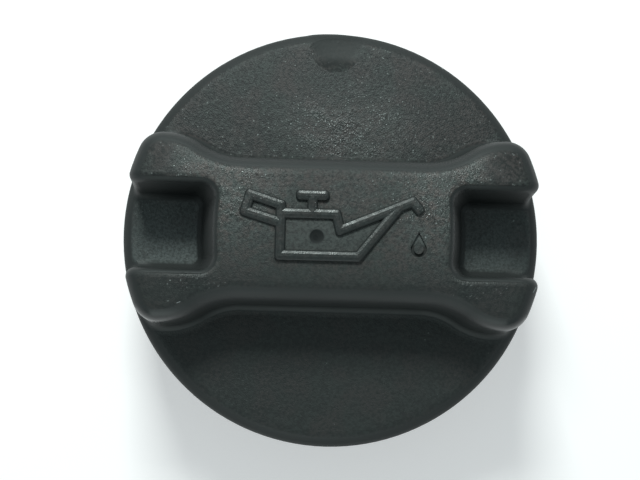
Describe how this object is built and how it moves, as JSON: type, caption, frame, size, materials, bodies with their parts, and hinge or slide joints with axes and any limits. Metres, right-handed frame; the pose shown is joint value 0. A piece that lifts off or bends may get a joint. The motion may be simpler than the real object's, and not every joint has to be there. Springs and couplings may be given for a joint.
{
  "type": "oil filler cap",
  "caption": "Black moulded screw-in oil filler cap: crowned disc with a notched hourglass grip bar and oil-can relief, over a hollow threaded spigot with a flat rubber seal ring.",
  "frame": {"origin": "on the screw axis, in the plane where the seal ring meets the filler neck", "axes": "+Z along the screw axis, up through the grip; the grip bar lies along X, with the relief reading upright towards +Y"},
  "size_m": [0.066, 0.066, 0.0376],
  "materials": {
    "cap_plastic": "fine moulded grain, glass-filled black plastic",
    "seal_rubber": "smooth oil-resistant rubber"
  },
  "bodies": {
    "root": {"cap_body": "cap_plastic", "seal_ring": "seal_rubber"}
  },
  "joints": []
}
